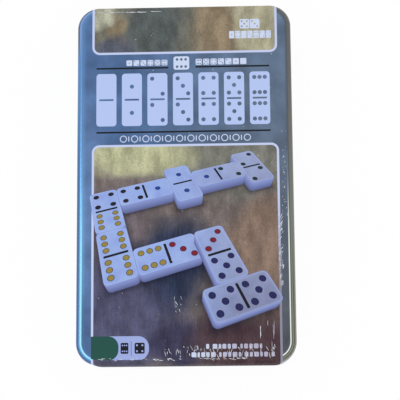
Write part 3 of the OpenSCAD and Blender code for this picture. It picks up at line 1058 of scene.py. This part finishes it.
class DOMINO_OT_tinplate(bpy.types.Operator):
    """Give the drawn lid and base their bare and lacquered tinplate"""
    bl_idname = "domino.tinplate"
    bl_label = "Tinplate"

    def execute(self, context):
        inks = settings().inks
        for name, lacquered in (("lid", False), ("base", True)):
            finish = Finish(f"{name}_tinplate", metallic=0.85, roughness=0.32)
            grain = finish.speckle((9, 0.35, 9), 3, 0.6)
            rolled = finish.speckle((1.3, 0.02, 1.3), 4, 0.6)
            bare = finish.mottle(finish.blend(grain, inks.tin_dull, inks.tin_bright), rolled, 0.2)
            shade = finish.blend(0.3 * finish.speckle(0.5, 3), bare, inks.spangle)
            if lacquered:
                # The lacquer covers the outside of the wall below the lid, and the shoulder.
                below = finish.math("LESS_THAN", finish.z, TIN_LOW.z + 0.05)
                outer = finish.math("LESS_THAN", finish.inset(), 0.16)
                shoulder = finish.math("GREATER_THAN", finish.z, TIN_LOW.z - 0.2)
                skin = below * finish.math("MAXIMUM", outer, shoulder)
                lacquer = finish.blend(finish.speckle(0.7, 3), inks.lacquer, inks.lacquer_pale)
                shade = finish.blend(skin, shade, lacquer)
                finish.feed(metallic=0.85 - 0.45 * skin)
            finish.feed(base_color=shade, roughness=0.2 + 0.16 * grain + 0.14 * rolled).bump(grain, 0.1, 0.03)
            dress(name, finish)
        return {"FINISHED"}


# ------------------------------------------------------------------ what the tin holds

class DOMINO_OT_tray(bpy.types.Operator):
    """Give the formed tray its black plastic"""
    bl_idname = "domino.tray"
    bl_label = "Tray Plastic"

    def execute(self, context):
        look = settings().tray
        finish = Finish("tray_plastic", roughness=0.38, specular_ior_level=0.45)
        drawn = finish.speckle((0.25, 0.25, 1.2), 3)
        pores = finish.speckle(5, 2, 0.7)
        rub = finish.ramp(finish.speckle((0.7, 4.0, 0.7), 4, 0.7), 0.6, 0.8) * 0.25
        shade = finish.blend(rub, finish.blend(drawn, look.black, look.black_drawn), look.rubbed)
        finish.feed(base_color=shade, roughness=0.3 + 0.18 * drawn + 0.1 * pores)
        finish.bump(drawn + 0.3 * pores, 0.2, 0.12)
        dress("tray", finish)
        return {"FINISHED"}


def joined(graph, x, y, z):
    """A vector from three numbers or values."""
    return graph.node("ShaderNodeCombineXYZ", None, {0: x, 1: y, 2: z}).outputs[0]


def parted(graph, vector):
    """The three values of a vector."""
    return [Value(graph, axis) for axis in graph.node("ShaderNodeSeparateXYZ", None, {0: vector}).outputs]


def bar_strip(graph, given):
    """A strip of paint in a bar's groove, pulled up along its sides and at its ends."""
    block = graph.node("GeometryNodeMeshCube", None, {
        "Vertices X": 3, "Vertices Y": 9, "Vertices Z": 2,
        "Size": joined(graph, given["Width"], given["Length"], given["Thickness"])})
    x, y, z = parted(graph, graph.node("GeometryNodeInputPosition").outputs[0])
    edge = graph.math("MAXIMUM", abs(x) / (given["Width"] / 2),
                      graph.ramp(abs(y) / (given["Length"] / 2), 0.74, 1.0))
    lift = graph.math("GREATER_THAN", z, 0) * (edge * edge * given["Thickness"] * 0.3)
    return graph.node("GeometryNodeSetPosition", None, {
        "Geometry": block.outputs[0], "Offset": joined(graph, 0, 0, lift)}).outputs[0]


def pip_cap(graph, given):
    """A closed, dished cap of paint that lies in a round dimple."""
    grid = graph.node("GeometryNodeMeshGrid", None, {
        "Size X": 2.0, "Size Y": 1.0, "Vertices X": given["Rings"] * 2 + 1,
        "Vertices Y": given["Sides"] + 1})
    across, along, _ = parted(graph, graph.node("GeometryNodeInputPosition").outputs[0])
    turn = (along + 0.5) * math.tau
    radius = given["Diameter"] / 2
    ball = (radius * radius + given["Depth"] * given["Depth"]) / (given["Depth"] * 2)
    out = (1 - abs(across)) * radius
    dish = ball - given["Depth"] - graph.math("SQRT", ball * ball - out * out)
    under = graph.math("LESS_THAN", across, 0)
    film = given["Paint"] * (1 - under * 2) * (1.001 - (out / radius) ** 4)
    place = joined(graph, out * graph.math("COSINE", turn), out * graph.math("SINE", turn), dish + film)
    cap = graph.node("GeometryNodeSetPosition", None, {
        "Geometry": grid.outputs[0], "Position": place}).outputs[0]
    cap = graph.node("GeometryNodeMergeByDistance", None, {"Geometry": cap, "Distance": 1e-6}).outputs[0]
    return graph.node("GeometryNodeFlipFaces", None, {"Mesh": cap}).outputs[0]


def paint_tree(name, shape, sizes, paints, integers=()):
    """Geometry nodes that lay one shape of paint on every point, in the paint of the point's value."""
    graph, given = geometry_tree(name, sizes, integers)
    smooth = graph.node("GeometryNodeSetShadeSmooth", None, {"Geometry": shape(graph, given)}).outputs[0]
    spread = graph.node("GeometryNodeInstanceOnPoints", None, {
        "Points": given["Geometry"], "Instance": smooth})
    result = graph.node("GeometryNodeRealizeInstances", None, {0: spread.outputs[0]}).outputs[0]
    value = graph.node("GeometryNodeInputNamedAttribute", {"data_type": "INT"}, {"Name": "value"}).outputs[0]
    for number, paint in paints.items():
        chosen = graph.node("FunctionNodeCompare", {"data_type": "INT", "operation": "EQUAL"},
                            {2: value, 3: number}).outputs[0]
        result = graph.node("GeometryNodeSetMaterial", None, {
            "Geometry": result, "Selection": chosen, "Material": paint}).outputs[0]
    graph.node("NodeGroupOutput", None, {0: result})
    return graph.tree


def gloss_paint(name, shade):
    """Glossy enamel in a dimple, paler and rougher in soft random pools."""
    finish = Finish(name, roughness=0.22, specular_ior_level=0.5, coat_weight=0.4, coat_roughness=0.05)
    pool = finish.speckle(0.9, 2)
    lighter = tuple(min(1, c * 1.5 + 0.01) for c in shade)
    return finish.feed(base_color=finish.blend(0.6 * pool, tuple(shade), lighter),
                       roughness=0.16 + 0.14 * pool).material


class DOMINO_OT_tiles(bpy.types.Operator):
    """Give the tiles their plastic, and paint their pips and bars"""
    bl_idname = "domino.tiles"
    bl_label = "Tiles and Pips"

    BAR_CLEARANCE = 0.04 * MM   # between the paint and the ends and sides of its groove
    BAR_RISE = 0.16 * MM        # from the groove's floor to the middle of the paint

    def plastic(self, look):
        """The tiles' moulded plastic, faintly clouded and worn."""
        finish = Finish("tile_plastic", roughness=0.24, coat_weight=0.25, coat_roughness=0.08)
        cloud = finish.speckle(0.16, 3)
        wear = finish.ramp(finish.speckle((3.5, 0.6, 1.5), 4, 0.7), 0.62, 0.8) * 0.35
        shade = finish.blend(0.5 * cloud, look.plastic, look.plastic_cool)
        return finish.feed(base_color=finish.blend(wear * 0.3, shade, look.plastic_worn),
                           roughness=0.2 + 0.1 * cloud + wear).bump(finish.speckle(1.2, 3), 0.08, 0.05)

    def places(self, body, look):
        """Where the pips and bars of a layer lie, and the value of each pip."""
        spots, values, grooves = [], [], []
        for name in frame["record"]["behaviour"]["bodies"][body]:
            low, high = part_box(name)
            middle = (low + high) / 2
            first, second = (int(part) for part in name.split("_")[1:])
            number = first * 7 - first * (first - 1) // 2 + second - first
            way = -1 if number % 3 == 1 else 1   # every third tile lies the other way round
            grooves.append((middle.x, middle.y, high.z - look.bar_deep + self.BAR_RISE))
            for half, count in ((-way, first), (way, second)):
                for px, py in PIPS[count]:
                    spots.append((middle.x + half * (high.x - low.x) / 4 + way * px * look.pitch,
                                  middle.y + way * py * look.pitch, high.z))
                    values.append(count)
        return spots, values, grooves

    def execute(self, context):
        look = settings().tiles
        plastic = self.plastic(look)
        paints = {value: gloss_paint(f"pip_paint_{value}", shade) for value, shade in by_value(look)}
        bar_paint = gloss_paint("bar_paint", look.bar_paint)
        pips = paint_tree("pip_paint", pip_cap, {
            "Diameter": 0.0048, "Depth": 0.0006, "Paint": 0.00005, "Rings": 6, "Sides": 24}, paints,
            ("Rings", "Sides"))
        bars = paint_tree("bar_paint", bar_strip, {
            "Length": 0.018, "Width": 0.0016, "Thickness": 0.00028}, {0: bar_paint})
        for body in ("lower_tiles", "upper_tiles"):
            for name in frame["record"]["behaviour"]["bodies"][body]:
                dress(name, plastic)
            spots, values, grooves = self.places(body, look)
            for part, tree, places, numbers, sizes in (
                    ("pips", pips, spots, values, {"Diameter": look.pip, "Depth": look.deep}),
                    ("bars", bars, grooves, [0] * len(grooves), {
                        "Length": look.bar - self.BAR_CLEARANCE,
                        "Width": look.bar_width - self.BAR_CLEARANCE})):
                source = bpy.data.meshes.new(f"{part}_{body}")
                source.from_pydata(places, [], [])
                source.attributes.new("value", "INT", "POINT").data.foreach_set("value", numbers)
                mesh = run_nodes(f"{part}_{body}", source, tree, sizes, bar_paint)
                piece(f"{part}_{body}", mesh, body)
        return {"FINISHED"}


def booklet_layout(board, left, low, right, high):
    """The cover's frame, panel of upright tiles, lines and row of tile halves."""
    ground, blue, pale, dark = range(4)
    board.paint(blue, rounded(left + 5, low + 6, right - 5, high - 6, 3))
    board.paint(ground, rounded(left + 6, low + 7, right - 6, high - 7, 2.4))
    board.paint(blue, rounded(left + 7.4, high - 46, right - 7.4, high - 8.4, 1.6))
    for value in range(7):
        board.upright(left + 11.5 + value * 9.7, high - 41, 7.8, 26, value, pale, blue)
    for row in range(9):
        foot = high - 58 - row * 7.6
        board.paint(dark, rounded(left + 12, foot, right - (12 if row % 3 else 30), foot + 1.2, 0.4, 2))
    for value in range(6):
        board.half(left + 14 + value * 10.8, low + 13, 8, 8, value + 1, dark, ground)


class DOMINO_OT_booklet(bpy.types.Operator):
    """Give the booklet its printed cover, its pages and its wire stitches"""
    bl_idname = "domino.booklet"
    bl_label = "Booklet"

    LEAF = 0.16   # thickness of a leaf as its edge shows, in millimetres
    OVER, THICK = 0.03, 0.02   # height of the print over the cover, and its thickness

    def papers(self, look):
        """The finish of each of the booklet's three nodes."""
        cover = Finish("cover_paper", roughness=0.45, coat_weight=0.15, coat_roughness=0.2)
        fibre = cover.speckle((1.5, 1.5, 6), 4, 0.7)
        # Painted shade: a grey band along the fold at the spine.
        spine_shade = cover.ramp(cover.x, BOOK_LOW.x + 1.2, BOOK_LOW.x + 2.4, 0.35, 0)
        shade = cover.blend(fibre, look.cover_fibre, look.cover)
        cover.feed(base_color=cover.blend(spine_shade, shade, look.spine_shade)).bump(fibre, 0.15, 0.04)
        pages = Finish("page_paper", roughness=0.8, specular_ior_level=0.3)
        leaf = (pages.z - BOOK_LOW.z) / self.LEAF + 0.3 * pages.speckle((0.08, 0.08, 2))
        leaf = pages.ramp(pages.math("FRACT", leaf), 0.2, 0.6)
        pages.feed(base_color=pages.blend(leaf, look.page_gap, look.page)).bump(leaf, 0.4, 0.05)
        wire = plain("staple_steel", look.wire, metallic=1.0, roughness=0.25)
        wire.feed(roughness=0.2 + 0.2 * wire.speckle(6, 2))
        return {"booklet_cover": cover, "booklet_pages": pages, "staples": wire}

    def execute(self, context):
        look, inks = settings().booklet, settings().inks
        for name, finish in self.papers(look).items():
            dress(name, finish)

        left, low, right, high = BOOK_LOW.x + 1.6, BOOK_LOW.y + 0.2, BOOK_HIGH.x - 0.2, BOOK_HIGH.y - 0.2
        board = Board(0, [(left, low), (right, low), (right, high), (left, high)])
        booklet_layout(board, left, low, right, high)
        flat, artwork = board.cut()
        points = [Vector((*p, BOOK_HIGH.z + self.OVER)) for p in flat]
        faces = [tuple(face) for face, _, _ in artwork]
        numbers = [ink for _, ink, _ in artwork]
        points, normals, faces = thicken(points, [Vector((0, 0, 1))] * len(points), faces, self.THICK)
        shades = {"cover_ground": look.ground, "cover_blue": inks.border_top_left,
                  "cover_pale": inks.pale, "cover_dark": look.dark}
        mesh = make_mesh("booklet_print", points, faces, [varnish(*named) for named in shades.items()],
                         numbers * 2 + [0] * (len(faces) - 2 * len(numbers)), normals)
        piece("booklet_print", mesh, "booklet")
        return {"FINISHED"}


# ------------------------------------------------------------------ film

def film_finish(look):
    """Clear shrink film, with faint white streaks painted as glints, and whiter where it is gathered."""
    finish = Finish("clear_film", roughness=0.08, base_color=(*look.clear, 1), specular_ior_level=0.6)
    # Painted highlight: faint white streaks stand for glints on the film.
    glint_streaks = finish.ramp(finish.speckle((0.5, 0.06, 0.5), 3, 0.6), 0.68, 0.88) * 0.05
    gather = finish.ramp(abs(finish.x) + abs(finish.y) * 0.62, 106, 116) * finish.ramp(
        finish.speckle(0.9, 3), 0.5, 0.7)
    return finish.feed(alpha=look.haze + glint_streaks + 0.25 * gather).bump(
        finish.speckle((0.35, 0.1, 0.35), 3), 0.5, 0.5).material


class DOMINO_OT_film(bpy.types.Operator):
    """Wrap the closed tin in clear shrink film, slit along the foot of the lid"""
    bl_idname = "domino.film"
    bl_label = "Shrink Film"

    CORNER_STEPS, EDGE_STEPS, SKIRT_STEPS, FOOT_STEPS = 28, 10, 8, 8
    MIDDLE = 0.01        # the film's innermost row, in millimetres out from the corner centres
    FOOT_EDGE = 1.8      # radius of the base's lower edge
    UNDER = 0.08         # distance from the base's underside to the film
    SLIT = 0.1           # from the lid's foot down to the lower half of the film
    GATHER, GATHER_REACH = 8, 11   # place of the gathers at a corner, and how far they reach

    def gathered(self, skin, rows, ruck):
        """The rows' points, gathered in fine folds at the tin's corners."""
        points = []
        for point in (point for row in rows for point in row):
            _, away = skin.out(point)
            corner = Vector((skin.half_x + self.GATHER, skin.half_y + self.GATHER))
            near = max(0, 1 - (Vector((abs(point.x), abs(point.y))) - corner).length / self.GATHER_REACH)
            fold = abs(noise.noise(Vector((point.x * 0.9, point.y * 0.9, point.z * 0.12))))
            points.append(point + Vector((*away, 0.25)) * (ruck * near * fold))
        return points

    def lid_rows(self, corner, edge, off):
        """Distances out and heights of the film's rows, from the middle of the lid to its foot."""
        rows = [(self.MIDDLE, TOP + off), (corner - edge - 3, TOP + off)]
        for step in range(self.EDGE_STEPS + 1):
            angle = math.pi / 2 * step / self.EDGE_STEPS
            rows.append((corner - edge + (edge + off) * math.sin(angle),
                         TOP - edge + (edge + off) * math.cos(angle)))
        for step in range(self.SKIRT_STEPS):
            down = (TOP - edge - TIN_LOW.z) * (step + 1) / self.SKIRT_STEPS
            rows.append((corner + off, TOP - edge - down))
        return rows

    def base_rows(self, corner, off):
        """The same from the slit down to the middle of the underside."""
        foot = self.FOOT_EDGE
        rows = [(corner + off, TIN_LOW.z - self.SLIT), (corner + off, foot)]
        for step in range(self.FOOT_STEPS):
            angle = math.pi / 2 * (step + 1) / self.FOOT_STEPS
            rows.append((corner - foot + (foot + off) * math.cos(angle),
                         foot - (foot + self.UNDER) * math.sin(angle)))
        return rows + [(self.MIDDLE, -self.UNDER)]

    def execute(self, context):
        sizes, look = settings().sizes, settings().film
        corner, edge, off, ruck = (size / MM for size in (
            sizes.corner, sizes.edge, sizes.skin + look.gap, look.ruck))
        clear, skin = film_finish(look), Skin(corner)
        for body, shape in (("lid", self.lid_rows(corner, edge, off)), ("base", self.base_rows(corner, off))):
            rows = [skin.ring(out, height, self.CORNER_STEPS) for out, height in shape]
            count = len(rows[0])
            cap = tuple(range(count))
            if body == "base":
                cap = tuple(reversed(range(count * (len(rows) - 1), count * len(rows))))
            mesh = make_mesh(f"{body}_film", self.gathered(skin, rows, ruck), bands(rows) + [cap], [clear])
            piece(f"{body}_film", mesh, body)
        return {"FINISHED"}


def crease_glint_tree(white):
    """Geometry nodes that scatter fine creases over a patch of film, white as painted glints."""
    graph, given = geometry_tree("film_creases", {
        "Creases per m2": 300000.0, "Length": 0.004, "Width": 0.00022, "Turn": 0.0, "Spread": 0.3,
        "Seed": 3}, ("Seed",))
    grain = graph.node("GeometryNodeMeshCircle", {"fill_type": "NGON"}, {"Vertices": 8, "Radius": 0.5})
    spots = graph.node("GeometryNodeDistributePointsOnFaces", None, {
        "Mesh": given["Geometry"], "Density": given["Creases per m2"], "Seed": given["Seed"]})

    def chance(low, high, seed):
        return Value(graph, graph.node("FunctionNodeRandomValue", {"data_type": "FLOAT"}, {
            2: low, 3: high, "Seed": seed}).outputs[1])

    turn = joined(graph, 0, 0, given["Turn"] + given["Spread"] * chance(-1.0, 1.0, 5))
    size = joined(graph, given["Width"] * chance(0.5, 1.3, 6), given["Length"] * chance(0.25, 1.2, 7), 1.0)
    laid = graph.node("GeometryNodeInstanceOnPoints", None, {
        "Points": spots.outputs[0], "Instance": grain.outputs[0], "Rotation": turn, "Scale": size})
    real = graph.node("GeometryNodeRealizeInstances", None, {0: laid.outputs[0]})
    done = graph.node("GeometryNodeSetMaterial", None, {"Geometry": real.outputs[0], "Material": white})
    graph.node("NodeGroupOutput", None, {0: done.outputs[0]})
    return graph.tree


class DOMINO_OT_crease_glints(bpy.types.Operator):
    """Scatter the film's fine creases where it pulled tight, white as painted glints"""
    bl_idname = "domino.creases"
    bl_label = "Film Creases"

    OVER = 0.02       # height of the creases over the film
    FIRST_SEED = 11
    # Each patch: its box on the lid, creases per square millimetre, length, turn and spread.
    PATCHES = (
        (-12, -92, 47, -86.5, 0.22, 3.0, 0.1, 0.5),
        (50.8, -20, 53.4, 26, 0.28, 0.9, -0.5, 0.5),
        (48.8, -56, 50.9, -18, 0.6, 2.6, -0.35, 0.25),
        (-46, 92.4, -14, 92.7, 2.4, 4.5, 1.55, 0.03),
        (38, -88, 47, -74, 0.05, 8, 0.02, 0.06),
        (-44, -93.4, 30, -92.2, 0.5, 2.6, 1.4, 0.25),
        (-6, -70, -2, -60, 0.2, 3.0, 0.4, 0.4),
        (-46, -92, 48, 90, 0.0035, 0.6, 0.2, 1.5))

    def execute(self, context):
        sizes, look = settings().sizes, settings().film
        height = TOP + (sizes.skin + look.gap) / MM + self.OVER
        # Painted highlight: the creases' white stands for glints on the film.
        white = plain("crease_white", look.white, roughness=0.3, alpha=0.92).material
        tree = crease_glint_tree(white)
        merged = bmesh.new()
        for seed, (x0, y0, x1, y1, density, long, turn, spread) in enumerate(self.PATCHES, self.FIRST_SEED):
            source = bpy.data.meshes.new("crease_patch")
            source.from_pydata([Vector((x, y, height)) * MM for x, y in
                                ((x0, y0), (x1, y0), (x1, y1), (x0, y1))], [], [(0, 1, 2, 3)])
            merged.from_mesh(run_nodes("film_creases", source, tree, {
                "Creases per m2": density / MM / MM, "Length": long * MM, "Turn": turn,
                "Spread": spread, "Seed": seed}, white))
        mesh = bpy.data.meshes.new("film_creases")
        merged.to_mesh(mesh)
        merged.free()
        mesh.materials.append(white)
        piece("film_creases", mesh, "lid")
        return {"FINISHED"}


# ------------------------------------------------------------------ stage

FLOOR_REACH, FLOOR_DROP = 1500, 0.12   # half the floor's width and its depth under the tin, in millimetres


def lamp(name, place, wide, high, brightness, shade):
    """A flat lamp, turned to the tin, whose face is so many times as bright as white paper."""
    light = bpy.data.lights.new(name, "AREA")
    light.shape, light.size, light.size_y, light.color = "RECTANGLE", wide, high, shade
    light.energy = brightness * math.pi * wide * high
    holder = bpy.data.objects.new(name, light)
    holder.location = place
    holder.rotation_euler = (-Vector(place)).to_track_quat("-Z", "Y").to_euler()
    bpy.context.scene.collection.objects.link(holder)


def seen_directly(graph):
    """1 for what the camera sees, straight, mirrored or through film, and 0 for other light."""
    path = graph.node("ShaderNodeLightPath").outputs
    return graph.math("MAXIMUM", path["Is Camera Ray"], graph.math(
        "MAXIMUM", path["Is Glossy Ray"], path["Is Transmission Ray"]))


def floor_white(share):
    """White paper that takes the tin's shadow, and is clear from below."""
    material = bpy.data.materials.new("floor_white")
    material.use_nodes = True
    paper = Graph(material.node_tree)
    paper.tree.nodes.clear()
    matt = paper.node("ShaderNodeBsdfDiffuse", None, {"Color": (1.0, 1.0, 1.0)}).outputs[0]
    white = paper.node("ShaderNodeEmission", None, {"Color": (1.0, 1.0, 1.0), "Strength": 1.0}).outputs[0]
    lit = paper.node("ShaderNodeMixShader", None, {0: seen_directly(paper) * share, 1: matt, 2: white})
    below = paper.node("ShaderNodeNewGeometry").outputs["Backfacing"]
    clear = paper.node("ShaderNodeBsdfTransparent").outputs[0]
    sides = paper.node("ShaderNodeMixShader", None, {0: below, 1: lit.outputs[0], 2: clear})
    paper.node("ShaderNodeOutputMaterial", None, {"Surface": sides.outputs[0]})
    return material


class DOMINO_OT_stage(bpy.types.Operator):
    """Set up the white floor, the soft light and the camera"""
    bl_idname = "domino.stage"
    bl_label = "Stage"

    def execute(self, context):
        stage, scene = settings().stage, context.scene
        corners = [(x * FLOOR_REACH, y * FLOOR_REACH, -FLOOR_DROP) for x, y in
                   ((-1, -1), (1, -1), (1, 1), (-1, 1))]
        floor = make_mesh("floor", corners, [(0, 1, 2, 3)], [floor_white(stage.paper)])
        ground = bpy.data.objects.new("floor", floor)
        scene.collection.objects.link(ground)

        scene.world = bpy.data.worlds.new("studio")
        scene.world.use_nodes = True
        sky = Graph(scene.world.node_tree)
        sky.tree.nodes.clear()
        glow = sky.node("ShaderNodeBackground", None, {
            "Color": (1.0, 1.0, 1.0), "Strength": sky.ramp(seen_directly(sky), 0, 1, stage.sky, 1)})
        sky.node("ShaderNodeOutputWorld", None, {"Surface": glow.outputs[0]})
        lamp("sky_left", place=(-0.18, -0.15, 0.88), wide=1.0, high=0.16, brightness=1.8,
             shade=(0.85, 0.95, 1.0))

        camera = bpy.data.objects.new("camera", bpy.data.cameras.new("camera"))
        camera.data.sensor_width, camera.data.sensor_fit = 36, "HORIZONTAL"
        camera.data.lens = stage.lens
        camera.data.clip_start, camera.data.clip_end = 0.01, 20
        camera.location, camera.rotation_euler = stage.camera, stage.aim
        scene.collection.objects.link(camera)
        scene.camera = camera
        scene.view_settings.view_transform = "Standard"
        return {"FINISHED"}


# ------------------------------------------------------------------ add-on

class DominoTinSettings(bpy.types.PropertyGroup):
    """All settings of the domino tin."""
    sizes: bpy.props.PointerProperty(name="Tin", description="Sizes of the printed skin", type=TinSizes)
    inks: bpy.props.PointerProperty(name="Inks", description="Colours of the tinplate", type=InkColours)
    panels: bpy.props.PointerProperty(name="Panels", description="Tones of the panels", type=PanelColours)
    picture: bpy.props.PointerProperty(name="Picture", description="The pictured tiles", type=PictureColours)
    tiles: bpy.props.PointerProperty(name="Tiles", description="Plastic and paint", type=TileFinish)
    tray: bpy.props.PointerProperty(name="Tray", description="The tray's plastic", type=TrayFinish)
    booklet: bpy.props.PointerProperty(name="Booklet", description="Paper and print", type=BookletColours)
    film: bpy.props.PointerProperty(name="Film", description="The shrink film", type=FilmSizes)
    stage: bpy.props.PointerProperty(name="Stage", description="Camera and light", type=StageSizes)


OPERATORS = (DOMINO_OT_tinplate, DOMINO_OT_print, DOMINO_OT_tray, DOMINO_OT_tiles, DOMINO_OT_booklet,
             DOMINO_OT_film, DOMINO_OT_crease_glints, DOMINO_OT_stage)


class DOMINO_PT_panel(bpy.types.Panel):
    """Lists the steps that dress the domino tin"""
    bl_idname = "DOMINO_PT_panel"
    bl_label = "Domino Tin"
    bl_space_type = "VIEW_3D"
    bl_region_type = "UI"
    bl_category = "Domino Tin"

    def draw(self, context):
        for operator in OPERATORS:
            self.layout.operator(operator.bl_idname)
        for group in DominoTinSettings.__annotations__:
            box = self.layout.box()
            values = getattr(context.scene.domino_tin, group)
            for name in values.bl_rna.properties.keys():
                if name not in ("rna_type", "name"):
                    box.prop(values, name)


CLASSES = (TinSizes, InkColours, PanelColours, PictureColours, TileFinish, TrayFinish, BookletColours,
           FilmSizes, StageSizes, DominoTinSettings, *OPERATORS, DOMINO_PT_panel)


def register():
    for item in CLASSES:
        bpy.utils.register_class(item)
    bpy.types.Scene.domino_tin = bpy.props.PointerProperty(type=DominoTinSettings)


def unregister():
    del bpy.types.Scene.domino_tin
    for item in reversed(CLASSES):
        bpy.utils.unregister_class(item)


def main():
    register()
    for operator in OPERATORS:
        group, name = operator.bl_idname.split(".")
        getattr(getattr(bpy.ops, group), name)()


if __name__ == "__main__":
    main()
